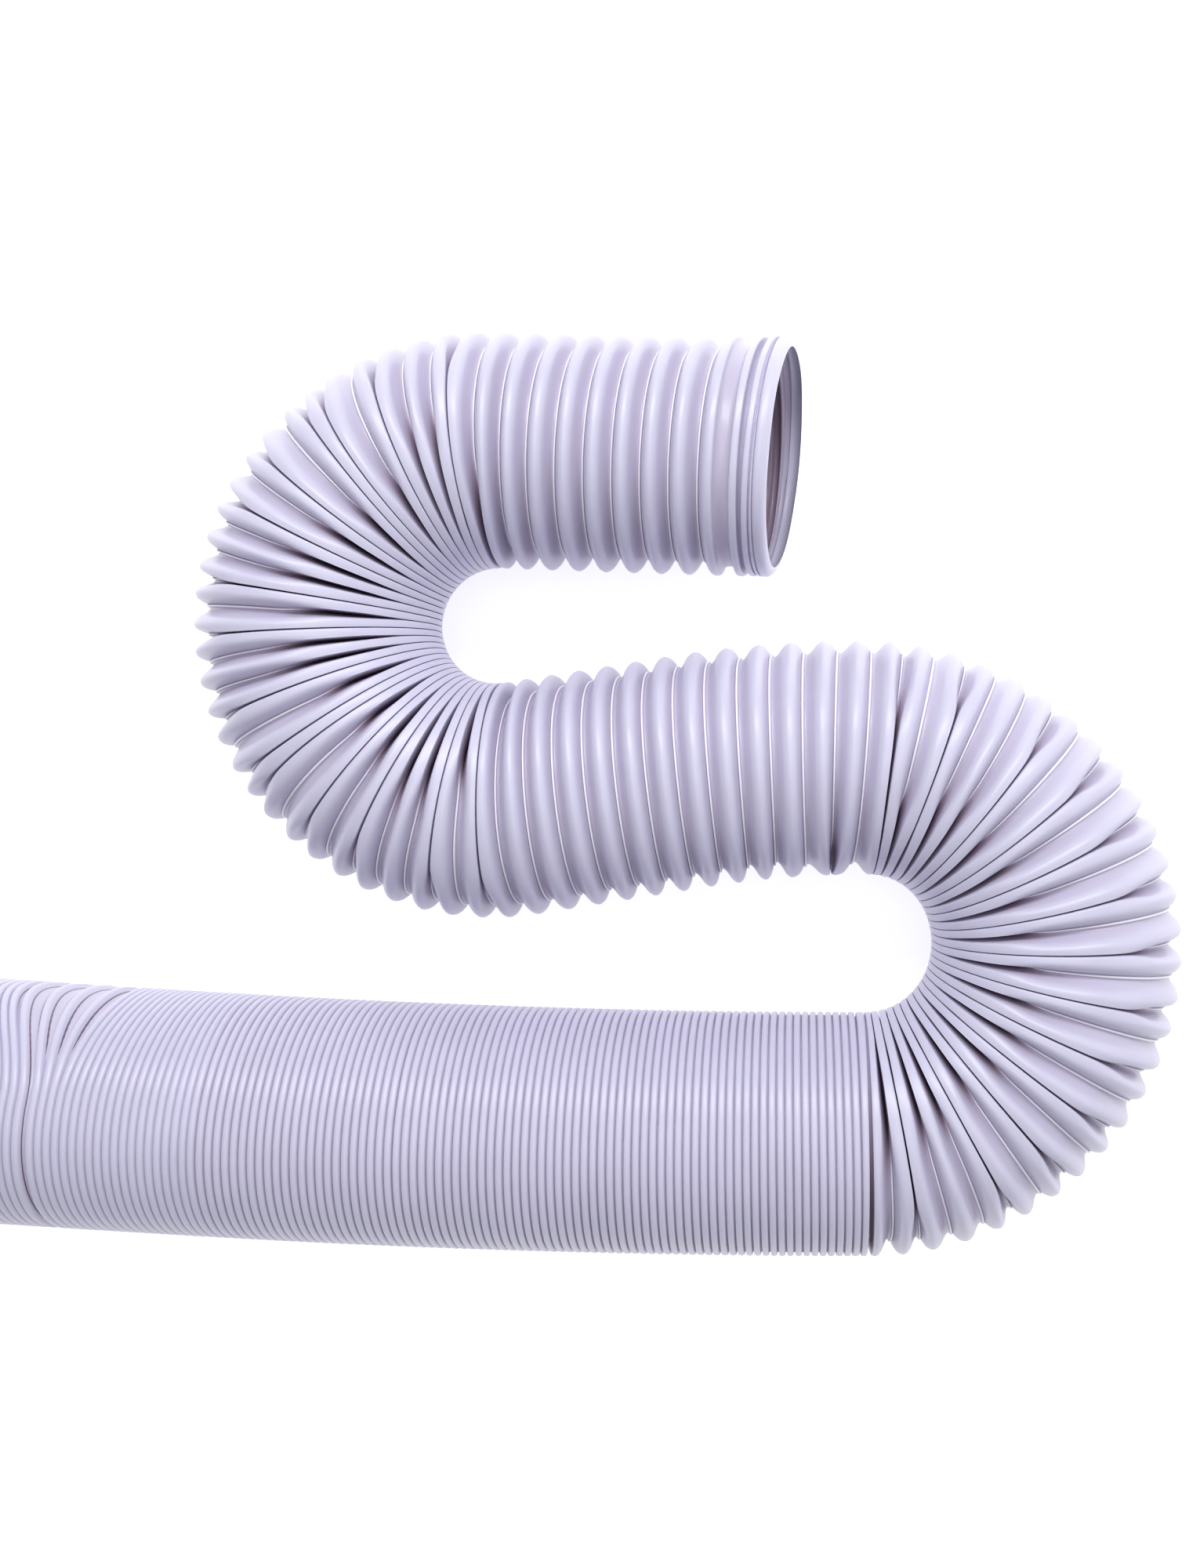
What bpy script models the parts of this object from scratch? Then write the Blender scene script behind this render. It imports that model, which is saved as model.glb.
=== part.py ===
"""Flexible ventilation duct: a pleated, helically wound plastic hose lying in an S on the floor.

Metres, +Z up. The hose rests on its crests at z = 0, with the middle of its outline over the origin.
Run with: blender --background --python part.py
"""

from dataclasses import dataclass
from math import atan, cos, hypot, pi, radians, sin, sqrt, tan

import bmesh
import bpy
from mathutils import Vector

# The pleats of the wound strip.
CREST_DIAMETER = 0.150
PANEL = 0.0133  # slant length of one side of a pleat, from crest to valley
WALL = 0.0008
SIDES = 16  # facets round the hose

# The plain lip at each open end.
LIP_LENGTH = 0.008
LIP_WALL = 0.0016

# The route, from the open end at the top right to the one at the bottom left. Turning left is positive.
TOP_LENGTH = 0.1735
TOP_TURNS = 11
LEFT_BEND_RADIUS = 0.112
LEFT_BEND_ANGLE = radians(191.2)
LEFT_BEND_TURNS = 32
MIDDLE_LENGTH = 0.110
MIDDLE_TURNS = 6
MIDDLE_EASE_LENGTH = 0.113
MIDDLE_EASE_ANGLE = radians(-9.0)
MIDDLE_EASE_TURNS = 6
RIGHT_BEND_RADIUS = 0.120
RIGHT_BEND_ANGLE = radians(-180.0)
RIGHT_BEND_TURNS = 28
RIGHT_BEND_SWELL = 0.004  # how much further the hose bulges to each side halfway round this bend
PACKED_LENGTH = 0.492
PACKED_ANGLE = radians(-4.0)
PACKED_TURNS = 98
GAPING_LENGTH = 0.057
GAPING_TURNS = 4
END_LENGTH = 0.067
END_TURNS = 15

# How the first stretch lies: its heading in plan, and how far its free end tips up off the floor.
FIRST_HEADING = radians(177.8)
FREE_END_TILT = radians(7.0)

# Packed pleats are drawn as a thick tube. Each rib round its outside stands for a few of them, and its
# bore is plain, with one ring of points for many.
TURNS_PER_PACKED_RIB = 7
PACKED_RIB_DEPTH = 0.0026
TURNS_PER_BORE_RING = 24

# Points closer than this are one point of the shell.
SAME_POINT = 0.000002


@dataclass(frozen=True)
class Stretch:
    """One run of the route with an even bend and an even pitch."""

    length: float
    bend: float
    turns: int
    shape: str  # lip, pleated or packed
    swell: float = 0.0

    @property
    def curvature(self):
        return self.bend / self.length

    @property
    def pitch(self):
        return self.length / self.turns


def bend_length(radius, angle):
    return radius * abs(angle)


STRETCHES = (
    Stretch(LIP_LENGTH, 0.0, 0, "lip"),
    Stretch(TOP_LENGTH, 0.0, TOP_TURNS, "pleated"),
    Stretch(
        bend_length(LEFT_BEND_RADIUS, LEFT_BEND_ANGLE),
        LEFT_BEND_ANGLE,
        LEFT_BEND_TURNS,
        "pleated",
    ),
    Stretch(MIDDLE_LENGTH, 0.0, MIDDLE_TURNS, "pleated"),
    Stretch(MIDDLE_EASE_LENGTH, MIDDLE_EASE_ANGLE, MIDDLE_EASE_TURNS, "pleated"),
    Stretch(
        bend_length(RIGHT_BEND_RADIUS, RIGHT_BEND_ANGLE),
        RIGHT_BEND_ANGLE,
        RIGHT_BEND_TURNS,
        "pleated",
        RIGHT_BEND_SWELL,
    ),
    Stretch(PACKED_LENGTH, PACKED_ANGLE, PACKED_TURNS, "packed"),
    Stretch(GAPING_LENGTH, 0.0, GAPING_TURNS, "pleated"),
    Stretch(END_LENGTH, 0.0, END_TURNS, "packed"),
    Stretch(LIP_LENGTH, 0.0, 0, "lip"),
)


@dataclass(frozen=True)
class Place:
    """A cross-section of the hose: its centre, its directions and the bend and swell there."""

    centre: Vector
    forward: Vector
    left: Vector
    up: Vector
    stretch: Stretch
    swell: float

    def point(self, angle, radius):
        """The point at one angle round the section, counted from the left toward the top."""
        sideways = (radius + self.swell) * cos(angle)
        return self.centre + sideways * self.left + radius * sin(angle) * self.up


def advance(x, y, heading, stretch, along):
    """Plan position and heading a given way along a stretch that starts at x, y."""
    if stretch.bend == 0.0:
        return x + along * cos(heading), y + along * sin(heading), heading
    radius = 1.0 / stretch.curvature
    turned = heading + stretch.curvature * along
    x += radius * (sin(turned) - sin(heading))
    y -= radius * (cos(turned) - cos(heading))
    return x, y, turned


def follow(stretches):
    """Start point, heading and distance from the first end of each stretch, laid end to end."""
    starts = []
    x, y, heading, distance = 0.0, 0.0, FIRST_HEADING, 0.0
    for stretch in stretches:
        starts.append((x, y, heading, distance))
        x, y, heading = advance(x, y, heading, stretch, stretch.length)
        distance += stretch.length
    return starts


STARTS = follow(STRETCHES)


def place_at(index, along):
    """The cross-section a given way along one of the stretches."""
    stretch = STRETCHES[index]
    x, y, heading, distance = STARTS[index]
    x, y, heading = advance(x, y, heading, stretch, along)
    tipped_length = LIP_LENGTH + TOP_LENGTH
    still_to_fall = max(tipped_length - distance - along, 0.0)
    slope = tan(FREE_END_TILT) * still_to_fall / tipped_length
    height = CREST_DIAMETER / 2 + slope * still_to_fall / 2
    dip = atan(slope)
    forward = Vector((cos(dip) * cos(heading), cos(dip) * sin(heading), -sin(dip)))
    left = Vector((-sin(heading), cos(heading), 0.0))
    swell = stretch.swell * sin(pi * along / stretch.length) ** 2
    return Place(Vector((x, y, height)), forward, left, forward.cross(left), stretch, swell)


def half_pitch(place, angle):
    """Half the crest spacing at one angle: small on the inside of a bend, large on its outside."""
    outward = CREST_DIAMETER / 2 * cos(angle)
    return place.stretch.pitch * (1.0 - place.stretch.curvature * outward) / 2


def depth_of_pleat(half):
    """Fall from crest to valley of a pleat whose sides keep their slant length."""
    return sqrt(max(PANEL**2 - half**2, 0.0))


PACKED_DEPTH = depth_of_pleat(PACKED_LENGTH / PACKED_TURNS / 2)


def run_turns(first):
    """Turns in the unbroken run of pleated stretches that starts at this one."""
    turns = 0
    while STRETCHES[first].shape == "pleated":
        turns += STRETCHES[first].turns
        first += 1
    return turns


@dataclass(frozen=True)
class Ring:
    """A plain row of points round a lip or a packed stretch."""

    index: int
    along: float
    radius: float

    def point(self, angle):
        return place_at(self.index, self.along).point(angle, self.radius)


@dataclass(frozen=True)
class Crease:
    """A crest or valley line of a run of pleats, which winds back a whole turn on its way round.

    The lines stop at the run's ends, where they lie on a plain ring as wide as the crests.
    """

    first: int
    turns_in_run: int
    half_turns: int
    inner: bool

    def point(self, angle):
        turn = self.half_turns / 2 - angle / (2 * pi)
        left_over = min(max(turn, 0.0), self.turns_in_run)
        index = self.first
        last = len(STRETCHES) - 1
        while index < last and left_over > STRETCHES[index].turns and STRETCHES[index + 1].shape == "pleated":
            left_over -= STRETCHES[index].turns
            index += 1
        place = place_at(index, left_over * STRETCHES[index].pitch)
        half = half_pitch(place, angle)
        full_depth = depth_of_pleat(half)
        from_end = min(turn, self.turns_in_run - turn)
        grown = min(max(2 * from_end, 0.0), 1.0)
        depth = full_depth * grown if self.half_turns % 2 else 0.0
        sloped_wall = WALL * hypot(full_depth, half) / half
        wall = WALL + (sloped_wall - WALL) * grown
        radius = CREST_DIAMETER / 2 - depth - (wall if self.inner else 0.0)
        return place.point(angle, radius)


def packed_rings(index, inner):
    """The rings of a packed stretch: coarse ribs on its outside, a plain bore on its inside."""
    stretch = STRETCHES[index]
    if inner:
        count = max(round(stretch.turns / TURNS_PER_BORE_RING), 1)
        radii = [CREST_DIAMETER / 2 - PACKED_DEPTH] * (count + 1)
    else:
        count = 2 * round(stretch.turns / TURNS_PER_PACKED_RIB)
        radii = [CREST_DIAMETER / 2 - PACKED_RIB_DEPTH * (k % 2) for k in range(count + 1)]
    return [Ring(index, stretch.length * k / count, radius) for k, radius in enumerate(radii)]


def skin(inner):
    """The rows of the outer or the inner skin, from the first open end to the last."""
    lip_radius = CREST_DIAMETER / 2 - (LIP_WALL if inner else 0.0)
    rows = []
    shape_before = ""
    for index, stretch in enumerate(STRETCHES):
        if stretch.shape == "lip":
            rows += [Ring(index, 0.0, lip_radius), Ring(index, stretch.length, lip_radius)]
        if stretch.shape == "packed":
            rows += packed_rings(index, inner)
        if stretch.shape == "pleated" and shape_before != "pleated":
            turns = run_turns(index)
            rows += [Crease(index, turns, k, inner) for k in range(2 * turns + 3)]
        shape_before = stretch.shape
    return rows


def duct_mesh():
    """A flat grid wrapped round the route: out along the outer skin and back along the inner one."""
    rows = skin(inner=False) + skin(inner=True)[::-1]
    rows.append(rows[0])
    shell = bmesh.new()
    bmesh.ops.create_grid(shell, x_segments=len(rows) - 1, y_segments=SIDES, size=0.5)
    for corner in shell.verts:
        row = round((corner.co.x + 0.5) * (len(rows) - 1))
        side = round((corner.co.y + 0.5) * SIDES)
        corner.co = rows[row].point(2 * pi * side / SIDES)
    bmesh.ops.remove_doubles(shell, verts=shell.verts, dist=SAME_POINT)
    bmesh.ops.triangulate(shell, faces=shell.faces)
    bmesh.ops.recalc_face_normals(shell, faces=shell.faces)
    mesh = bpy.data.meshes.new("duct_hose")
    shell.to_mesh(mesh)
    shell.free()
    return mesh


def centre_in_plan(mesh):
    """Move the mesh so that the middle of its outline is over the origin, and return the move."""
    xs = [corner.co.x for corner in mesh.vertices]
    ys = [corner.co.y for corner in mesh.vertices]
    move = Vector((-(min(xs) + max(xs)) / 2, -(min(ys) + max(ys)) / 2, 0.0))
    for corner in mesh.vertices:
        corner.co += move
    return move


def lilac_plastic():
    """Pale lilac polypropylene with a satin sheen."""
    material = bpy.data.materials.new("lilac_plastic")
    material.use_nodes = True
    surface = material.node_tree.nodes["Principled BSDF"]
    surface.inputs["Base Color"].default_value = (0.66, 0.63, 0.72, 1.0)
    surface.inputs["Roughness"].default_value = 0.38
    surface.inputs["Metallic"].default_value = 0.0
    return material


def main():
    for item in list(bpy.data.objects):
        bpy.data.objects.remove(item)
    parts = bpy.data.collections.new("flexible_ventilation_duct")
    bpy.context.scene.collection.children.link(parts)
    mesh = duct_mesh()
    centre_in_plan(mesh)
    mesh.materials.append(lilac_plastic())
    hose = bpy.data.objects.new("duct_hose", mesh)
    parts.objects.link(hose)
    mesh.shade_smooth()
    mesh.set_sharp_from_angle(angle=radians(30.0))


main()
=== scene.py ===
"""Flexible ventilation duct, dressed: every pleat of the wound strip, in the pose of the photograph.

The hose is one helical strip. It is built in a few lengths that meet along valley creases, each one a
flat grid wrapped round the route: out along the outer skin and back along the inner one.
"""

import logging
import random
from dataclasses import dataclass, field
from enum import Enum
from math import pi, radians, tan

import bpy
import numpy as np
from mathutils import Euler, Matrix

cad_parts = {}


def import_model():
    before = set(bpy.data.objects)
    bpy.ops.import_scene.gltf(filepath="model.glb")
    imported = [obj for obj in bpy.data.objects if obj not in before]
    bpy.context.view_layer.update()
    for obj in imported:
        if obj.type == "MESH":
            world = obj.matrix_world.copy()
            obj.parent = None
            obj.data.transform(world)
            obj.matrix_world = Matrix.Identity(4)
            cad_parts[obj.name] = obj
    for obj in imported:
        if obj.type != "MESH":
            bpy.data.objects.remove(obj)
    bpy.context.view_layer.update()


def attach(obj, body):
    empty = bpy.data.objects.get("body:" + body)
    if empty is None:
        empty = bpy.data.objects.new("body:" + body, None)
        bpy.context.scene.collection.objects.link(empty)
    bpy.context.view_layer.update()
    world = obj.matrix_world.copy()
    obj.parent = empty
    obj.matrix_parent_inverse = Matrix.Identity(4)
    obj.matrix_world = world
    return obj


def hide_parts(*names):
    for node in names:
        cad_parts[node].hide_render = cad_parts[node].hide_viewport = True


LOG = logging.getLogger("ventilation duct")
CAD_NODE = "duct_hose"
BODY = "root"

TURN = 2 * pi
SEAM_ANGLE = -pi / 2  # the grid's two long edges meet on the floor side
LINE_MIDDLE = 0.25  # a crest line's mean turn lies this far before its number
LAST_CORNER = 13  # the corner of a pleat's section that is the next crest
SAME_POINT = 0.000002

# Where the open end at the top right lies in plan, with the middle of the CAD model's outline at the origin.
FREE_END_X = 0.161719
FREE_END_Y = 0.211237

# The lengths that the strip is built in, and the number of the crest line at which each one starts.
FIRST_CRESTS = {
    "hose_top_run": 0,
    "hose_left_bend": 27,
    "hose_right_bend": 55,
    "hose_packed_run": 84,
    "hose_far_end": 140,
}

# The points of one line round the hose, the painted shade each gets in its fold and the painted highlight it
# gets on the bead.
Row = tuple[np.ndarray, np.ndarray, np.ndarray]


class Style(Enum):
    """How closely the pleats of a leg of the route are drawn."""

    PLEATED = "open or fanned pleats, with every panel and bead"
    PACKED = "pleats pushed together, which show only as rounded ribs"


@dataclass(frozen=True)
class Leg:
    """One leg of the route, with an even bend. Turning left is positive.

    The swell is how much further the hose bulges to each side halfway along.
    """

    name: str
    length: float
    turns: float
    bend: float = 0.0
    style: Style = Style.PLEATED
    swell: float = 0.0


def smoothstep(value: np.ndarray, low: float, high: float) -> np.ndarray:
    """A soft step from 0 at low to 1 at high."""
    share = np.clip((np.asarray(value, float) - low) / (high - low), 0.0, 1.0)
    return share * share * (3.0 - 2.0 * share)


def soften(values: np.ndarray, width: float) -> np.ndarray:
    """Smooth a row of samples.

    Args:
        values: Evenly spaced samples.
        width: Spread of the smoothing, in samples.

    Returns:
        The smoothed samples, as many as before.
    """
    reach = int(3 * width)
    offsets = np.arange(-reach, reach + 1)
    kernel = np.exp(-0.5 * (offsets / width) ** 2)
    padded = np.pad(values, reach, mode="edge")
    return np.convolve(padded, kernel / kernel.sum(), mode="valid")


@dataclass
class Route:
    """Where the hose lies: the legs laid end to end, and how its pleats are spread along them."""

    radius: float = 0.075
    lip_length: float = 0.008
    free_end_heading: float = radians(177.8)
    free_end_tilt: float = radians(7.0)
    lip_lean: float = radians(-4.1)  # the open lip leans more than the run does
    lean_turns: float = 4.0  # turns over which the rings come to lean at each end
    tipped_length: float = 0.1815
    top_length: float = 0.1735
    end_bands_length: float = 0.011
    first_pleat_length: float = 0.0224
    left_bend_radius: float = 0.112
    left_bend_angle: float = radians(191.2)
    right_bend_radius: float = 0.120
    right_bend_angle: float = radians(-180.0)
    samples_per_turn: int = 32
    pitch_softness: float = 0.7  # in turns
    heading_softness: float = 1.5  # in turns
    fan_ends_before: tuple[float, float] = (9.0, 4.0)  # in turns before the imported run
    packed_askew: float = radians(1.6)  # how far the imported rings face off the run's own line
    legs: tuple[Leg, ...] = field(init=False)

    def __post_init__(self) -> None:
        """Lay the legs end to end and sample the route once, at even steps of the turn count."""
        rest_of_top = self.top_length - self.end_bands_length - self.first_pleat_length
        left_length = self.left_bend_radius * self.left_bend_angle
        right_length = -self.right_bend_radius * self.right_bend_angle
        self.legs = (
            Leg("end bands", self.end_bands_length, 2),
            Leg("first pleat", self.first_pleat_length, 1),
            Leg("top", rest_of_top, 7.85),
            Leg("left bend", left_length, 32.55, self.left_bend_angle),
            Leg("middle", 0.110, 6),
            Leg("ease", 0.113, 6, radians(-9.0)),
            Leg("right bend", right_length, 28.4, self.right_bend_angle, swell=0.004),
            Leg("packed", 0.402, 80, radians(-3.3), Style.PACKED),
            Leg("gaping", 0.214, 34.0, radians(-0.7), Style.PACKED),
        )
        self.turns = sum(leg.turns for leg in self.legs)
        self.starts = np.concatenate(([0.0], np.cumsum([leg.turns for leg in self.legs])))
        self._sample_pleats()
        self._sample_centreline()
        self._sample_headings()

    def reach(self, name: str) -> tuple[float, float]:
        """The turns at which the named leg starts and ends."""
        index = [leg.name for leg in self.legs].index(name)
        return float(self.starts[index]), float(self.starts[index + 1])

    def leg(self, name: str) -> Leg:
        """The named leg."""
        return next(leg for leg in self.legs if leg.name == name)

    def leg_at(self, turn: np.ndarray) -> np.ndarray:
        """The number of the leg that each turn lies in."""
        found = np.searchsorted(self.starts, turn, side="right") - 1
        return np.clip(found, 0, len(self.legs) - 1)

    def _sample_pleats(self) -> None:
        """Sample how far along the route each turn of the strip lies."""
        step = 1.0 / self.samples_per_turn
        self.turn_at = np.arange(0.0, self.turns + step / 2, step)
        pitches = np.array([leg.length / leg.turns for leg in self.legs])
        pitch = soften(pitches[self.leg_at(self.turn_at)], self.pitch_softness * self.samples_per_turn)
        along = np.concatenate(([0.0], np.cumsum((pitch[1:] + pitch[:-1]) / 2 * step)))
        total = sum(leg.length for leg in self.legs)
        self.along_at = along * total / along[-1]

    def _sample_centreline(self) -> None:
        """Sample the middle of the hose in plan, its height and its sideways swell."""
        lengths = np.array([leg.length for leg in self.legs])
        ends = np.concatenate(([0.0], np.cumsum(lengths)))
        index = np.clip(np.searchsorted(ends, self.along_at, side="right") - 1, 0, len(self.legs) - 1)
        curvatures = np.array([leg.bend / leg.length for leg in self.legs])
        headings = self.free_end_heading + np.concatenate(([0.0], np.cumsum([leg.bend for leg in self.legs])))
        local = self.along_at - ends[index]
        self.axis_heading = headings[index] + curvatures[index] * local
        starts = self._leg_starts(lengths, curvatures, headings)
        bend = np.where(curvatures[index] == 0.0, 1.0, curvatures[index])
        before = headings[index]
        x_bent = (np.sin(self.axis_heading) - np.sin(before)) / bend
        y_bent = -(np.cos(self.axis_heading) - np.cos(before)) / bend
        straight = curvatures[index] == 0.0
        self.x = starts[index, 0] + np.where(straight, local * np.cos(before), x_bent)
        self.y = starts[index, 1] + np.where(straight, local * np.sin(before), y_bent)
        swells = np.array([leg.swell for leg in self.legs])
        self.swell = swells[index] * np.sin(pi * local / lengths[index]) ** 2
        to_fall = np.clip(self.tipped_length - self.lip_length - self.along_at, 0.0, None)
        self.slope = tan(self.free_end_tilt) * to_fall / self.tipped_length
        self.height = self.radius + self.slope * to_fall / 2

    def _leg_starts(self, lengths: np.ndarray, curvatures: np.ndarray, headings: np.ndarray) -> np.ndarray:
        """Plan position of each leg's start, with the middle of the CAD model's outline at the origin.

        Args:
            lengths: The legs' lengths.
            curvatures: The legs' curvatures.
            headings: The heading at each leg's start.

        Returns:
            One row of x and y for each leg.
        """
        x = FREE_END_X + self.lip_length * np.cos(headings[0])
        y = FREE_END_Y + self.lip_length * np.sin(headings[0])
        rows = []
        for length, curvature, heading in zip(lengths, curvatures, headings):
            rows.append((x, y))
            if curvature == 0.0:
                x += length * np.cos(heading)
                y += length * np.sin(heading)
            else:
                turned = heading + curvature * length
                x += (np.sin(turned) - np.sin(heading)) / curvature
                y -= (np.cos(turned) - np.cos(heading)) / curvature
        return np.array(rows)

    def _sample_headings(self) -> None:
        """Sample which way each ring of the hose faces. Rings fan out a little before a bend starts."""
        soft = soften(self.axis_heading, self.heading_softness * self.samples_per_turn)
        packed_start = self.reach("packed")[0]
        fan_ends, packed_begins = (packed_start - before for before in self.fan_ends_before)
        packed = smoothstep(self.turn_at, fan_ends, packed_begins)
        lip_lean = self.lip_lean * (1.0 - smoothstep(self.turn_at, 0.0, self.lean_turns))
        near_far_end = smoothstep(self.turn_at, self.turns - self.lean_turns, self.turns)
        askew = self.packed_askew * packed * (1.0 - near_far_end)
        self.heading = self.axis_heading + (1.0 - packed) * (soft - self.axis_heading) + lip_lean + askew

    def pitch_round(self, turn: np.ndarray, angle: np.ndarray) -> np.ndarray:
        """Crest spacing that an even pleat has at a place of the hose.

        Args:
            turn: Turns of the strip from the free end.
            angle: Angle round the section, counted from the left toward the top.

        Returns:
            The spacing in metres.
        """
        pitch = np.gradient(self.along_at, self.turn_at)
        turning = np.gradient(self.heading, self.turn_at)
        along = np.interp(turn, self.turn_at, pitch)
        return along - self.radius * np.cos(angle) * np.interp(turn, self.turn_at, turning)

    def point(self, turn: np.ndarray, angle: np.ndarray, radius: np.ndarray) -> np.ndarray:
        """Points of the hose. Below turn 0 and past the last turn lie the plain lips, one unit of turn each.

        Args:
            turn: Turns of the strip from the free end.
            angle: Angle round the section, counted from the left toward the top.
            radius: Distance from the centreline.

        Returns:
            The points, with x, y and z on the last axis.
        """
        inside = np.clip(turn, 0.0, self.turns)
        beyond = (turn - inside) * self.lip_length

        def sampled(values: np.ndarray) -> np.ndarray:
            """The sampled values at the wanted turns."""
            return np.interp(inside, self.turn_at, values)

        heading = sampled(self.heading)
        dip = np.arctan(sampled(self.slope))
        sideways = (radius + sampled(self.swell)) * np.cos(angle)
        upward = radius * np.sin(angle)
        forward = beyond + np.sin(dip) * upward
        axis = sampled(self.axis_heading)
        x = sampled(self.x) - sideways * np.sin(heading) + forward * np.cos(axis)
        y = sampled(self.y) + sideways * np.cos(heading) + forward * np.sin(axis)
        z = np.maximum(sampled(self.height) + upward * np.cos(dip) - beyond * np.sin(dip), 0.0)
        return np.stack([x, y, z], axis=-1)


@dataclass(frozen=True)
class Fold:
    """The section of one pleat, from a crest to the next.

    An open pleat has a broad crest, a wall that falls to a bead beside the valley, and a gentler wall that
    rises to the next crest. A closed one has a narrow fold between it and the next, and on top a flat band in
    a bend or a rounded rib in a straight run. All have the same count of corners, with the valley at the same
    one.
    """

    panel: float = 0.0133  # slant length from crest to valley
    tightest: float = 0.0043
    touching: float = 0.0046  # crest spacing at which neighbours touch
    parted: float = 0.0090  # crest spacing at which they are clear of each other
    rib_groove: float = 0.0022  # depth between pleats that are pushed together
    fan_groove: float = 0.0050  # the same on the inside of a bend
    least_depth: float = 0.0045  # kept where the panels are pulled nearly straight
    rib_half_width: float = 0.0021
    rib_share: float = 0.37  # largest share of the crest spacing that half a rib takes
    band_half_width: float = 0.0023
    band_share: float = 0.34  # half width of a fanned pleat's band, as a share of the mean crest spacing
    widest_band: float = 0.43
    shoulder_fall: float = 0.32  # fall from a rib's middle to its edge, as a share of its half width
    flat_band_fall: float = 0.16  # the same of a band
    largest_fall: float = 0.4  # the largest such fall, as a share of the depth
    # Corners of half a rib or band, as shares of its half width and of its fall.
    top_along: tuple[float, ...] = (0.0, 0.5, 0.85)
    top_down: tuple[float, ...] = (0.0, 0.2, 0.65)
    opens_at: float = 0.0105  # crest spacings between which a fanned pleat opens
    open_at: float = 0.0160
    rib_opens_at: float = 0.0058  # the same in a straight run
    rib_open_at: float = 0.0120
    # Painted shade in the fold: in straight runs, in bends and in open pleats.
    rib_painted_shade: float = 0.56
    fan_painted_shade: float = 0.72
    open_painted_shade: float = 0.22
    flat_shade_loss: float = 0.85  # how much of the painted shade flat pleats lose
    plain_when_flat: float = 0.6  # flatness from which a pleat has no bead
    valley: int = 7  # the corner that is the valley
    bead: tuple[float, ...] = (5.0, 5.5, 6.0)  # places on the section that are the bead, and take its painted highlight
    open_along: tuple[float, ...] = (
        0.0, 0.10, 0.20, 0.30, 0.362, 0.383, 0.433, 0.455, 0.53, 0.63, 0.735, 0.79, 0.89, 1.0
    )
    open_down: tuple[float, ...] = (
        0.0, 0.05, 0.20, 0.55, 0.90, 0.80, 0.82, 1.0, 0.985, 0.76, 0.43, 0.27, 0.09, 0.0
    )
    rib_wall_along: tuple[float, ...] = (0.0, 0.08, 0.25, 0.6, 1.0, 1.4, 1.75, 1.92, 2.0)
    rib_wall_down: tuple[float, ...] = (0.0, 0.35, 0.72, 0.96, 1.0, 0.96, 0.72, 0.35, 0.0)
    band_wall_along: tuple[float, ...] = (0.0, 0.04, 0.12, 0.24, 0.40, 0.75, 1.20, 1.65, 2.0)
    band_wall_down: tuple[float, ...] = (0.0, 0.30, 0.68, 0.92, 1.0, 0.86, 0.55, 0.20, 0.0)

    def depth(self, pitch: np.ndarray, fanned: np.ndarray, flat: np.ndarray) -> np.ndarray:
        """Fall from crest to valley, less where the pleats touch or have been pulled flat."""
        full = np.sqrt(np.clip(self.panel**2 - (pitch / 2) ** 2, self.least_depth**2, None))
        groove = self.rib_groove + (self.fan_groove - self.rib_groove) * fanned
        clear = smoothstep(pitch, self.touching, self.parted)
        return groove + (full - groove) * clear * (1.0 - flat)

    def closed_section(
        self, pitch: np.ndarray, spread: np.ndarray, depth: np.ndarray, fanned: np.ndarray
    ) -> tuple[np.ndarray, np.ndarray]:
        """Corners of a closed pleat. In a bend its near wall is steep and its far wall rises gently.

        Args:
            pitch: Crest spacing.
            spread: Mean crest spacing of the pleats round this one.
            depth: Fall from crest to valley.
            fanned: 1 in a bend, 0 in a straight run.

        Returns:
            How far along and how far down the corners lie, each with the corners on the last axis.
        """
        rib = np.minimum(self.rib_half_width, self.rib_share * pitch)
        band = np.maximum(self.band_share * spread, self.band_half_width)
        band = np.minimum(band, self.widest_band * pitch)
        half = rib + (band - rib) * fanned
        fall_share = self.shoulder_fall + (self.flat_band_fall - self.shoulder_fall) * fanned
        fall = np.minimum(fall_share * half, self.largest_fall * depth)
        wall = pitch / 2 - half
        along = [place * half for place in self.top_along]
        down = [place * fall for place in self.top_down]
        for on_rib, on_band in zip(self.rib_wall_along, self.band_wall_along):
            along.append(half + (on_rib + (on_band - on_rib) * fanned) * wall)
        for on_rib, on_band in zip(self.rib_wall_down, self.band_wall_down):
            down.append(fall + (on_rib + (on_band - on_rib) * fanned) * (depth - fall))
        along += [pitch - self.top_along[1] * half, pitch]
        down += [self.top_down[1] * fall, self.top_down[0] * fall]
        return np.stack(along, -1), np.stack(down, -1)

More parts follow.
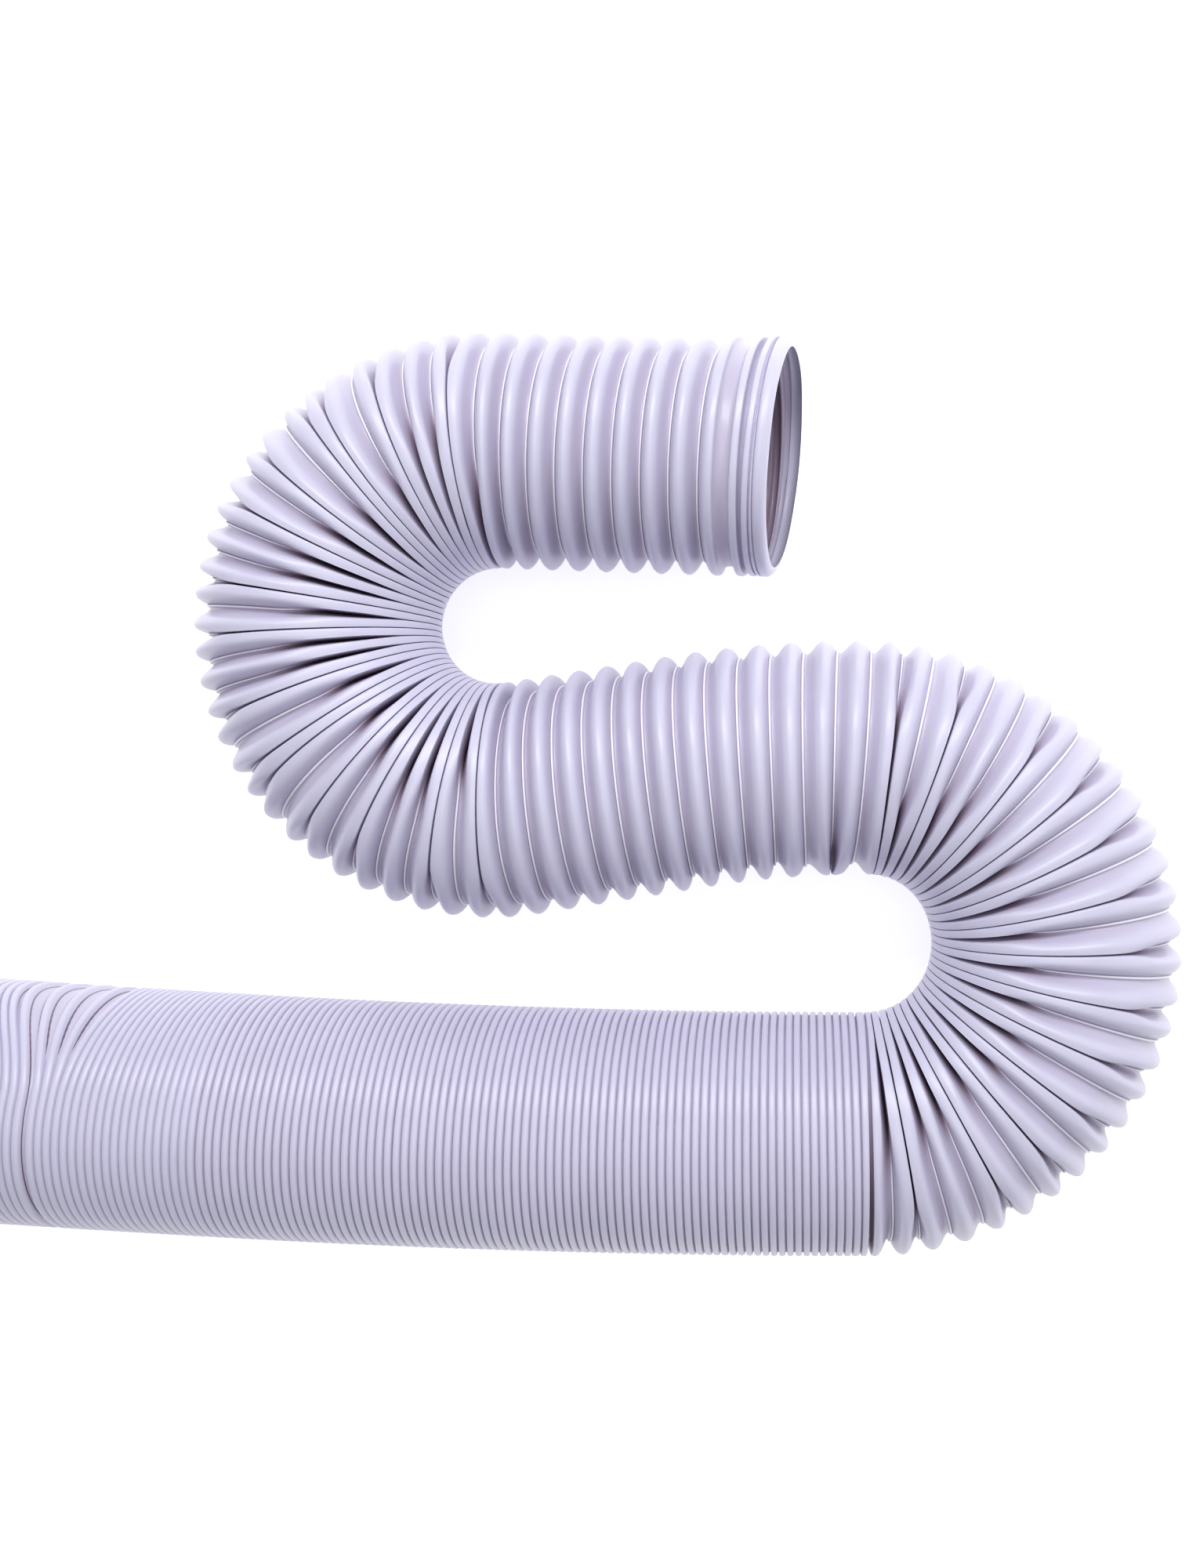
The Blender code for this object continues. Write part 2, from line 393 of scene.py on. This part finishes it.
    def section(
        self, pitch: np.ndarray, spread: np.ndarray, fanned: np.ndarray, flat: np.ndarray, samples: np.ndarray
    ) -> tuple[np.ndarray, np.ndarray, np.ndarray, np.ndarray]:
        """The smooth section of a pleat.

        Args:
            pitch: Crest spacing of this pleat.
            spread: Mean crest spacing of the pleats round it.
            fanned: 1 in a bend, 0 in a straight run.
            flat: 1 where the pleats have been pulled flat.
            samples: Places on the section, counted in corners from its crest.

        Returns:
            Share of the pitch, fall, darkness and bead of each place, with the samples on the last axis.
        """
        depth = self.depth(pitch, fanned, flat)
        opens_at = self.rib_opens_at + (self.opens_at - self.rib_opens_at) * fanned
        open_at = self.rib_open_at + (self.open_at - self.rib_open_at) * fanned
        not_flat = 1.0 - smoothstep(flat, 0.0, self.plain_when_flat)
        opened = (smoothstep(pitch, opens_at, open_at) * not_flat)[..., None]
        along, down = self.closed_section(pitch, spread, depth, fanned)
        along = along + (np.array(self.open_along) * pitch[..., None] - along) * opened
        down = down + (np.array(self.open_down) * depth[..., None] - down) * opened
        share = self._smoothed(along, samples, pitch[..., None]) / pitch[..., None]
        fall = self._smoothed(down, samples, 0.0)
        in_fan = fanned[..., None]
        # Painted shade: deep in closed pleats, fainter in open ones, and paler where pleats are pulled flat.
        closed_painted_shade = in_fan * self.fan_painted_shade * (fall / depth[..., None]) ** 2
        closed_painted_shade = closed_painted_shade + (1.0 - in_fan) * self.rib_painted_shade * fall / self.panel
        painted_shade = self.open_painted_shade * fall / self.panel + (1.0 - opened) * closed_painted_shade
        painted_shade = painted_shade * (1.0 - self.flat_shade_loss * flat[..., None])
        # The bead's places get a painted highlight, as far as the pleat is open.
        bead_highlight_mask = np.isin(samples, self.bead)
        bead = np.where(bead_highlight_mask, opened, 0.0)
        return share, fall, painted_shade, bead

    def _smoothed(self, corners: np.ndarray, samples: np.ndarray, step: np.ndarray | float) -> np.ndarray:
        """Run a smooth curve through a pleat's corners, taking the pleats beside it to be like it.

        Args:
            corners: The corners' values, with the corners on the last axis.
            samples: Places on the section, counted in corners from its crest.
            step: How much larger the next pleat's values are.

        Returns:
            The curve's value at each place.
        """
        padded = np.concatenate([corners[..., -2:-1] - step, corners, corners[..., 1:2] + step], axis=-1)
        first = np.minimum(samples.astype(int), corners.shape[-1] - 2)
        u = samples - first
        # The four weights of a Catmull-Rom curve.
        weights = (
            -0.5 * u**3 + u**2 - 0.5 * u,
            1.5 * u**3 - 2.5 * u**2 + 1.0,
            -1.5 * u**3 + 2.0 * u**2 + 0.5 * u,
            0.5 * u**3 - 0.5 * u**2,
        )
        return sum(weight * padded[..., first + offset] for offset, weight in enumerate(weights))


@dataclass(frozen=True)
class Pinch:
    """A few neighbouring crests that have stuck together over part of their way round."""

    middle: float  # crest count of the group's middle
    size: int
    angle: float
    spread: float
    strength: float = 1.0


@dataclass(frozen=True)
class Fan:
    """A bend whose pleats have stuck together in small groups."""

    leg: str
    inner: float  # the angle round the section that faces the inside of the bend
    group_sizes: tuple[int, ...]
    seed: int


@dataclass(frozen=True)
class Gape:
    """Ribs at the far end that have been pulled apart on one side, flat enough to show no deep fold.

    On the open side the ribs are first pressed closer, then four of them part, and the rest are even. On the
    rest of the way round they stay closed, with one wide rib among them, and the last few part.
    """

    leg: str = "gaping"
    angle: float = pi  # the middle of the open side
    closed_past: float = radians(72.0)  # how far from it the open side ends
    # Turns from the leg's start, and how far along the leg each of them lies.
    open_side: tuple[tuple[float, float], ...] = ((16.0, 0.0720), (20.0, 0.1370))
    closed_side: tuple[tuple[float, float], ...] = ((19.0, 0.0950), (20.0, 0.1035), (31.4, 0.1605))

    def along(self, turn: np.ndarray, side: tuple, leg: Leg) -> np.ndarray:
        """How far along the leg each turn lies on one side."""
        turns = [0.0, *(place[0] for place in side), leg.turns]
        lengths = [0.0, *(place[1] for place in side), leg.length]
        return np.interp(turn, turns, lengths)


@dataclass
class Crests:
    """Where each crest line of the strip lies."""

    route: Route
    fold: Fold
    sides: int = 84
    first: int = -1  # the first line's number, one turn before the free end
    lines_past_end: int = 2
    least_spacing: float = 0.001
    # Turns from a bend's start between which its pleats fan out, and from its end where that stops.
    fan_starts: tuple[float, float] = (-1.0, 1.5)
    fan_ends: tuple[float, float] = (-0.5, 0.2)
    closing: float = 0.39  # how much closer than even the pleats of a group stand at their closest
    closest_at: float = radians(89.0)  # counted from the outside of the bend
    closing_width: float = radians(54.0)
    group_strength: tuple[float, float] = (0.8, 1.1)
    group_rounds: int = 8  # times that a bend's group sizes are gone through, which is more than enough
    fans: tuple[Fan, ...] = (
        Fan("left bend", 0.0, (2, 2, 1, 2, 3, 2, 2, 1), 7),
        Fan("right bend", pi, (1, 2, 2, 1, 2, 2, 2, 2, 2, 2, 2, 2, 2, 2), 11),
    )
    pinches: tuple[Pinch, ...] = (
        Pinch(54.5, 2, pi, radians(50.0), 0.9),
        Pinch(57.0, 3, pi, radians(50.0), 0.7),
    )
    gape: Gape = Gape()
    flat_end: tuple[float, float] = (2.3, 3.2)  # turns between which the free end's flat pleats end
    end_flatness: float = 0.65
    gape_flatness: float = 0.78
    gape_onset: float = 1.0  # turns before the gaping leg over which the ribs become flat

    def __post_init__(self) -> None:
        """Work out the turn at which each crest line crosses each angle round the hose."""
        self.angles = SEAM_ANGLE + TURN * np.arange(self.sides + 1) / self.sides
        self.index = np.arange(self.first, int(self.route.turns) + self.lines_past_end + 1)
        even = self.index[:, None] - self.angles[None, :] / TURN
        self.turn = even + sum(self._grouped(even, fan) for fan in self.fans)
        self.turn = self.turn + sum(self._pinched(even, pinch) for pinch in self.pinches) + self._gaped(even)

    def fanned(self, turn: np.ndarray) -> np.ndarray:
        """How far each place has come into a bend: 1 inside one, 0 in a straight run."""
        return sum(self._within(turn, fan) for fan in self.fans)

    def _within(self, turn: np.ndarray, fan: Fan) -> np.ndarray:
        """How far each place has come into one bend."""
        start, end = self.route.reach(fan.leg)
        begun = smoothstep(turn, *(start + offset for offset in self.fan_starts))
        return begun * (1.0 - smoothstep(turn, *(end + offset for offset in self.fan_ends)))

    def flattened(self, turn: np.ndarray) -> np.ndarray:
        """How far pleats have been pulled flat, as they are over the gaping leg and by the free end."""
        start = self.route.reach(self.gape.leg)[0]
        first, last = self.flat_end
        gaping = self.gape_flatness * smoothstep(turn, start - self.gape_onset, start)
        return gaping + self.end_flatness * (1.0 - smoothstep(turn, first, last))

    def _gaped(self, turn: np.ndarray) -> np.ndarray:
        """Moves that open the gaping pleats, in turns.

        Args:
            turn: The turn at which each even crest line crosses each angle.

        Returns:
            How many turns each crest line moves along the hose at each angle.
        """
        start, end = self.route.reach(self.gape.leg)
        leg = self.route.leg(self.gape.leg)
        inside = np.clip(turn - start, 0.0, end - start)
        opened = self.gape.along(inside, self.gape.open_side, leg)
        closed = self.gape.along(inside, self.gape.closed_side, leg)
        away = np.abs(self.angles - self.gape.angle)
        share = 1.0 - smoothstep(away, 0.0, self.gape.closed_past)[None, :]
        return (closed + (opened - closed) * share) * leg.turns / leg.length - inside

    def _room(self, turn: np.ndarray) -> np.ndarray:
        """How far pleats can close before they touch, as a share of their even spacing."""
        even = self.route.pitch_round(turn, self.angles[None, :])
        return np.clip(1.0 - self.fold.tightest / np.maximum(even, self.least_spacing), 0.0, 1.0)

    def _grouped(self, turn: np.ndarray, fan: Fan) -> np.ndarray:
        """Moves that close the pleats of a bend in groups.

        Args:
            turn: The turn at which each even crest line crosses each angle.
            fan: The bend and its groups.

        Returns:
            How many turns each crest line moves along the hose at each angle.
        """
        first = int(self.route.reach(fan.leg)[0])
        chance = random.Random(fan.seed)
        places: list[float] = []
        for size in fan.group_sizes * self.group_rounds:
            strength = chance.uniform(*self.group_strength)
            places += [((size - 1) / 2 - member) * strength for member in range(size)]
        # A pleat keeps its place in a group over the seam, and changes it only on the inside of the bend.
        crossed = (self.angles < fan.inner) if fan.inner == 0.0 else -1 * (self.angles > fan.inner)
        label = np.clip(self.index[:, None] - first + crossed[None, :], 0, len(places) - 1)
        from_outside = np.abs((self.angles - fan.inner) % TURN - pi)
        close = self.closing * np.exp(-(((from_outside - self.closest_at) / self.closing_width) ** 2))
        share = np.minimum(close[None, :], self._room(turn))
        return np.array(places)[label] * share * self._within(turn, fan)

    def _pinched(self, turn: np.ndarray, pinch: Pinch) -> np.ndarray:
        """Moves that draw one group of crests together round one angle.

        Args:
            turn: The turn at which each even crest line crosses each angle.
            pinch: The group.

        Returns:
            How many turns each crest line moves along the hose at each angle.
        """
        place = pinch.middle - self.index
        reach = (pinch.size - 1) / 2
        in_group = np.where(np.abs(place) > reach, 0.0, 1.0)
        near = np.exp(-(((self.angles - pinch.angle) / pinch.spread) ** 2))
        move = (place * in_group)[:, None] * near[None, :] * pinch.strength
        return move * self._room(turn)


@dataclass
class HoseLength:
    """One length of the strip, cut along valley creases: a closed shell with an outer and an inner skin."""

    name: str
    first_crest: int
    last_crest: int
    route: Route
    fold: Fold
    crests: Crests
    wall: float = 0.0014
    lip_wall: float = 0.0016
    least_pitch: float = 0.0035
    end_margin: float = 0.5  # turns at each end whose pleats take the spacing from further in
    end_growth: float = 2.0  # share of its depth that a pleat gains in each turn from a lip
    bore_painted_shade: float = 0.65  # painted shade inside the bore, past its first turns
    lit_turns: float = 1.8
    # From the lip's edge to the first pleat: share of the lip's length, and how far outside the crests.
    lip_outline: tuple[tuple[float, float], ...] = (
        (1.0, -0.0050), (0.95, -0.0036), (0.80, -0.0016), (0.55, -0.0002), (0.15, 0.0),
        (0.04, -0.0012), (0.0, -0.0002),
    )
    lip_groove_depth: float = 0.001
    lip_groove_within: float = 0.5  # the share of the lip's length in which the groove lies
    # Painted shade in the groove round the outer lip.
    lip_groove_painted_shade: float = 0.15
    lip_waves: tuple[tuple[int, float], ...] = ((3, 0.0006), (7, 0.0004))  # waves round it and their height
    lip_wave_phase: float = 1.0
    outer_samples: tuple[float, ...] = tuple(k / 2 for k in range(2 * LAST_CORNER))
    inner_samples: tuple[float, ...] = tuple(float(k) for k in range(LAST_CORNER))
    packed_outer_samples: tuple[float, ...] = (0.0, 1.0, 2.0, 3.0, 5.0, 7.0, 9.0, 11.0, 12.0, 12.5)
    packed_inner_samples: tuple[float, ...] = (0.0, 3.0, 7.0, 11.0)
    smooth_below: float = radians(75.0)  # edges that turn by less are shaded smooth

    def build(self) -> bpy.types.Object:
        """Wrap a flat grid round the route and close it.

        Returns:
            The finished mesh object.
        """
        outer = self._skin(inner=False)
        inner = self._skin(inner=True)
        rows = outer + inner[::-1]
        rows.append(rows[0])
        places = np.stack([row[0] for row in rows])
        painted_shades = np.stack([row[1] for row in rows])
        bead_highlights = np.stack([row[2] for row in rows])
        return self._wrapped_grid(places, painted_shades, bead_highlights)

    def _skin(self, inner: bool) -> list[Row]:
        """The rows of one skin, each one a line that winds once round the hose.

        Args:
            inner: Whether this is the inner skin.

        Returns:
            The rows, from the free end on.
        """
        rows = []
        for crest in range(self.first_crest, self.last_crest):
            rows += self._pleat(crest, inner)
        rows = rows[self._valley_row(self.first_crest, inner):] if self.first_crest > 0 else rows
        if self.last_crest < self._end_crest:
            closing = self._pleat(self.last_crest, inner)
            rows += closing[: self._valley_row(self.last_crest, inner) + 1]
        if self.first_crest <= 0:
            rows = self._lip(inner, at_start=True) + rows
        if self.last_crest >= self._end_crest:
            rows = rows + self._lip(inner, at_start=False)
        return rows

    @property
    def _end_crest(self) -> int:
        """The crest line that lies wholly past the last turn."""
        return int(self.route.turns) + 1

    def _samples(self, crest: int, inner: bool) -> np.ndarray:
        """Places on the section at which a pleat has rows of points."""
        middle = crest - LINE_MIDDLE
        if self.route.legs[int(self.route.leg_at(middle))].style is Style.PACKED:
            return np.array(self.packed_inner_samples if inner else self.packed_outer_samples)
        return np.array(self.inner_samples if inner else self.outer_samples)

    def _valley_row(self, crest: int, inner: bool) -> int:
        """Which row of a pleat runs along its valley."""
        return int(np.argmin(np.abs(self._samples(crest, inner) - self.fold.valley)))

    def _pleat(self, crest: int, inner: bool) -> list[Row]:
        """The rows of one pleat.

        Args:
            crest: The crest line at which the pleat starts.
            inner: Whether this is the inner skin.

        Returns:
            The rows, from this crest to just before the next.
        """
        route, crests = self.route, self.crests
        row = crest - crests.first
        angles = crests.angles
        start, end = crests.turn[row], crests.turn[row + 1]
        ring = np.full_like(angles, route.radius)
        gap = route.point(end, angles, ring) - route.point(start, angles, ring)
        pitch = np.clip(np.linalg.norm(gap, axis=-1), self.least_pitch, None)
        middle = np.clip((start + end) / 2, self.end_margin, route.turns - self.end_margin)
        spread = route.pitch_round(middle, angles)
        samples = self._samples(crest, inner)
        fanned, flat = crests.fanned(middle), crests.flattened(middle)
        share, fall, painted_shade, bead = self.fold.section(pitch, spread, fanned, flat, samples)
        turn = start[:, None] + (end - start)[:, None] * share
        grown = np.clip(self.end_growth * np.minimum(turn, route.turns - turn), 0.0, 1.0)
        turn = np.clip(turn, 0.0, route.turns)
        radius = route.radius - fall * grown - (self.wall if inner else 0.0)
        points = route.point(turn, angles[:, None], radius)
        if inner:
            # The bore gets painted shade that deepens past its first lit turns.
            from_end = np.minimum(turn, route.turns - turn)
            painted_shade = self.bore_painted_shade * np.clip(from_end / self.lit_turns, 0.0, 1.0)
            grown = np.ones_like(grown)
        return [(points[:, k], painted_shade[:, k] * grown[:, k], bead[:, k]) for k in range(len(samples))]

    def _lip(self, inner: bool, at_start: bool) -> list[Row]:
        """The rows of a plain lip.

        Args:
            inner: Whether this is the inner skin.
            at_start: Whether this is the lip of the free end.

        Returns:
            The rows, in the order in which the route passes them.
        """
        angles = self.crests.angles
        rows = []
        for beyond, proud in self.lip_outline:
            turn = -beyond if at_start else self.route.turns + beyond
            phase = self.lip_wave_phase
            wavy = sum(height * np.sin(count * angles + phase) for count, height in self.lip_waves)
            radius = self.route.radius + proud - (self.lip_wall if inner else 0.0) + beyond * wavy
            points = self.route.point(np.full_like(angles, turn), angles, radius)
            # The groove round the outer lip gets painted shade.
            in_groove = proud < -self.lip_groove_depth and beyond < self.lip_groove_within
            shade = 0.0 if inner else self.lip_groove_painted_shade * in_groove
            rows.append((points, np.full_like(angles, shade), np.zeros_like(angles)))
        return rows if at_start else rows[::-1]

    def _wrapped_grid(self, places: np.ndarray, painted_shades: np.ndarray, bead_highlights: np.ndarray) -> bpy.types.Object:
        """Add a flat grid, move its points to their places and close the shell.

        Args:
            places: Points by row and column.
            painted_shades: How much painted shade each point gets in its fold.
            bead_highlights: How much painted highlight each point gets on the bead.

        Returns:
            The mesh object.
        """
        row_count, column_count = painted_shades.shape
        bpy.ops.object.select_all(action="DESELECT")
        steps_along, steps_round = row_count - 1, column_count - 1
        bpy.ops.mesh.primitive_grid_add(x_subdivisions=steps_along, y_subdivisions=steps_round, size=1.0)
        piece = bpy.context.object
        piece.name = self.name
        mesh = piece.data
        mesh.name = self.name
        flat = np.zeros(len(mesh.vertices) * 3)
        mesh.vertices.foreach_get("co", flat)
        flat = flat.reshape(-1, 3)
        row = np.rint((flat[:, 0] + 0.5) * steps_along).astype(int)
        column = np.rint((flat[:, 1] + 0.5) * steps_round).astype(int)
        mesh.vertices.foreach_set("co", places[row, column].ravel())
        for name, values in (("fold", painted_shades), ("bead", bead_highlights)):
            attribute = mesh.attributes.new(name, "FLOAT", "POINT")
            attribute.data.foreach_set("value", values[row, column].astype(np.float32))
        while mesh.uv_layers:
            mesh.uv_layers.remove(mesh.uv_layers[0])
        bpy.ops.object.mode_set(mode="EDIT")
        bpy.ops.mesh.select_all(action="SELECT")
        bpy.ops.mesh.remove_doubles(threshold=SAME_POINT)
        bpy.ops.mesh.fill_holes(sides=0)
        bpy.ops.mesh.normals_make_consistent(inside=False)
        bpy.ops.object.mode_set(mode="OBJECT")
        bpy.ops.object.shade_smooth_by_angle(angle=self.smooth_below)
        return piece


@dataclass(frozen=True)
class LilacPlastic:
    """Satin pale lilac polypropylene, with painted shade, darker and warmer, deep in its pleats, and a
    painted highlight on each bead.
    """

    face: tuple[float, float, float] = (0.590, 0.573, 0.730)
    # Painted shade tints for the fold: a warm one, and a near-black one deep in closed pleats.
    warm_painted_shade: tuple[float, float, float] = (0.36, 0.28, 0.38)
    deep_painted_shade: tuple[float, float, float] = (0.030, 0.018, 0.040)
    warm_at: float = 0.40  # painted shade values at which the two painted shade tints are reached
    deep_at: float = 0.85
    # Painted highlight colour on each bead.
    bead: tuple[float, float, float] = (0.86, 0.85, 0.93)
    roughness: float = 0.32
    roughness_spread: tuple[float, float] = (-0.05, 0.07)
    mottle_scale: float = 22.0
    mottle_detail: float = 3.0
    mottle_between: tuple[float, float] = (0.35, 0.65)  # noise values between which the tint changes
    mottle_shade: float = 0.955  # brightness of the darker tint
    grain_scale: float = 900.0
    grain_detail: float = 2.0
    grain_strength: float = 0.05
    grain_height: float = 0.0002
    refraction: float = 1.49

    @staticmethod
    def _noise(place: bpy.types.Node, scale: float, detail: float) -> bpy.types.Node:
        """Add a noise texture in the object's own coordinates, which the given node has."""
        tree = place.id_data
        noise = tree.nodes.new("ShaderNodeTexNoise")
        noise.inputs["Scale"].default_value = scale
        noise.inputs["Detail"].default_value = detail
        tree.links.new(place.outputs["Object"], noise.inputs["Vector"])
        return noise

    @staticmethod
    def _value(tree: bpy.types.NodeTree, name: str) -> bpy.types.Node:
        """Add a node that reads one of the mesh's attributes."""
        value = tree.nodes.new("ShaderNodeAttribute")
        value.attribute_name = name
        return value

    def material(self) -> bpy.types.Material:
        """Build the finish with nodes.

        Returns:
            The material.
        """
        plastic = bpy.data.materials.new("lilac_plastic_dressed")
        plastic.use_nodes = True
        tree = plastic.node_tree
        nodes, links = tree.nodes, tree.links
        surface = nodes["Principled BSDF"]
        place = nodes.new("ShaderNodeTexCoord")
        # The fold attribute carries the painted shade.
        fold = self._value(tree, "fold")
        mottle = self._noise(place, self.mottle_scale, self.mottle_detail)
        grain = self._noise(place, self.grain_scale, self.grain_detail)
        tint = nodes.new("ShaderNodeValToRGB")
        darker, paler = tint.color_ramp.elements
        darker.position, paler.position = self.mottle_between
        darker.color = (*[self.mottle_shade * value for value in self.face], 1.0)
        paler.color = (*self.face, 1.0)
        links.new(mottle.outputs["Fac"], tint.inputs["Fac"])
        to_painted_shade = nodes.new("ShaderNodeValToRGB")
        ramp = to_painted_shade.color_ramp
        ramp.elements[0].position = 0.0
        ramp.elements[0].color = (1.0, 1.0, 1.0, 1.0)
        ramp.elements[1].position = self.deep_at
        ramp.elements[1].color = (*[dark / pale for dark, pale in zip(self.deep_painted_shade, self.face)], 1.0)
        warm = ramp.elements.new(self.warm_at)
        warm.color = (*[dark / pale for dark, pale in zip(self.warm_painted_shade, self.face)], 1.0)
        links.new(fold.outputs["Fac"], to_painted_shade.inputs["Fac"])
        colour = nodes.new("ShaderNodeMix")
        colour.data_type = "RGBA"
        colour.blend_type = "MULTIPLY"
        colour.inputs["Factor"].default_value = 1.0
        links.new(tint.outputs["Color"], colour.inputs["A"])
        links.new(to_painted_shade.outputs["Color"], colour.inputs["B"])
        # The bead attribute carries the painted highlight, mixed over the colour.
        bead_highlight_mask = self._value(tree, "bead")
        bead_highlighted = nodes.new("ShaderNodeMix")
        bead_highlighted.data_type = "RGBA"
        bead_highlighted.inputs["B"].default_value = (*self.bead, 1.0)
        links.new(bead_highlight_mask.outputs["Fac"], bead_highlighted.inputs["Factor"])
        links.new(colour.outputs["Result"], bead_highlighted.inputs["A"])
        links.new(bead_highlighted.outputs["Result"], surface.inputs["Base Color"])
        gloss = nodes.new("ShaderNodeMapRange")
        least, most = self.roughness_spread
        gloss.inputs["To Min"].default_value = self.roughness + least
        gloss.inputs["To Max"].default_value = self.roughness + most
        links.new(mottle.outputs["Fac"], gloss.inputs["Value"])
        links.new(gloss.outputs["Result"], surface.inputs["Roughness"])
        bump = nodes.new("ShaderNodeBump")
        bump.inputs["Strength"].default_value = self.grain_strength
        bump.inputs["Distance"].default_value = self.grain_height
        links.new(grain.outputs["Fac"], bump.inputs["Height"])
        links.new(bump.outputs["Normal"], surface.inputs["Normal"])
        surface.inputs["IOR"].default_value = self.refraction
        return plastic


@dataclass(frozen=True)
class WhiteFloor:
    """The plain white sheet that the hose lies on."""

    size: float = 12.0
    colour: tuple[float, float, float] = (0.90, 0.90, 0.895)
    roughness: float = 0.9
    glow: float = 0.55  # lit from below, like a light table
    glow_colour: tuple[float, float, float] = (1.0, 1.0, 1.0)
    drop: float = 0.0005  # how far below the hose it lies

    def build(self) -> bpy.types.Object:
        """Add the floor.

        Returns:
            The floor object.
        """
        bpy.ops.object.select_all(action="DESELECT")
        bpy.ops.mesh.primitive_plane_add(size=self.size, location=(0.0, 0.0, -self.drop))
        floor = bpy.context.object
        floor.name = "floor"
        paper = bpy.data.materials.new("white_paper")
        paper.use_nodes = True
        surface = paper.node_tree.nodes["Principled BSDF"]
        surface.inputs["Base Color"].default_value = (*self.colour, 1.0)
        surface.inputs["Roughness"].default_value = self.roughness
        surface.inputs["Emission Color"].default_value = (*self.glow_colour, 1.0)
        surface.inputs["Emission Strength"].default_value = self.glow
        floor.data.materials.append(paper)
        bpy.ops.object.transform_apply(location=True, rotation=True, scale=True)
        return floor


@dataclass(frozen=True)
class Softbox:
    """A rectangular light: where it stands, its turn about x and y, its width and height, and its watts."""

    name: str
    place: tuple[float, float, float]
    turn_x: float
    turn_y: float
    size: tuple[float, float]
    power: float

    def build(self) -> None:
        """Add the light."""
        data = bpy.data.lights.new(self.name, "AREA")
        data.shape = "RECTANGLE"
        data.size, data.size_y = self.size
        data.energy = self.power
        light = bpy.data.objects.new(self.name, data)
        light.location = self.place
        light.rotation_euler = Euler((self.turn_x, self.turn_y, 0.0))
        bpy.context.scene.collection.objects.link(light)


@dataclass(frozen=True)
class Studio:
    """The camera above the hose and the soft lights round it."""

    camera_place: tuple[float, float, float] = (0.1692, 0.0402, 0.935)
    lens: float = 30.75
    sensor: float = 36.0
    shift_x: float = -0.1256
    shift_y: float = -0.0355
    sees_as_far_as: float = 50.0
    softboxes: tuple[Softbox, ...] = (
        Softbox("key", (0.2, 1.15, 1.5), radians(-37.0), 0.0, (2.2, 0.5), 29.0),
        Softbox("overhead", (0.2, 0.1, 2.9), 0.0, 0.0, (2.2, 1.4), 14.5),
        Softbox("side", (2.1, 0.1, 0.9), 0.0, radians(68.0), (1.2, 2.4), 7.0),
    )
    surroundings: tuple[float, float, float] = (0.97, 0.98, 1.0)
    surroundings_strength: float = 0.42

    def camera(self) -> None:
        """Add the camera, which looks straight down."""
        data = bpy.data.cameras.new("photo_camera")
        data.sensor_fit = "VERTICAL"
        data.sensor_height = self.sensor
        data.lens = self.lens
        data.shift_x = self.shift_x
        data.shift_y = self.shift_y
        data.clip_end = self.sees_as_far_as
        camera = bpy.data.objects.new("photo_camera", data)
        camera.location = self.camera_place
        bpy.context.scene.collection.objects.link(camera)
        bpy.context.scene.camera = camera

    def lights(self) -> None:
        """Add the key light on the far side, the softer ones and the pale surroundings."""
        for softbox in self.softboxes:
            softbox.build()
        world = bpy.context.scene.world or bpy.data.worlds.new("surroundings")
        bpy.context.scene.world = world
        world.use_nodes = True
        sky = world.node_tree.nodes["Background"]
        sky.inputs["Color"].default_value = (*self.surroundings, 1.0)
        sky.inputs["Strength"].default_value = self.surroundings_strength
        bpy.context.scene.view_settings.view_transform = "Standard"


def cuts(route: Route) -> list[tuple[str, int, int]]:
    """The lengths that the strip is built in: each one's name and its first and last crest."""
    firsts = list(FIRST_CRESTS.values())
    lasts = firsts[1:] + [int(route.turns) + 1]
    return list(zip(FIRST_CRESTS, firsts, lasts))


def main() -> None:
    """Build and dress the whole hose, and report each piece."""
    logging.basicConfig(level=logging.INFO, format="%(message)s")
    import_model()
    studio = Studio()
    studio.camera()
    route = Route()
    fold = Fold()
    crests = Crests(route, fold)
    plastic = LilacPlastic().material()
    for name, first, last in cuts(route):
        piece = HoseLength(name, first, last, route, fold, crests).build()
        piece.data.materials.append(plastic)
        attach(piece, BODY)
        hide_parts(CAD_NODE)
        LOG.info("%s: %d faces", name, len(piece.data.polygons))
    WhiteFloor().build()
    studio.lights()


if __name__ == "__main__":
    main()
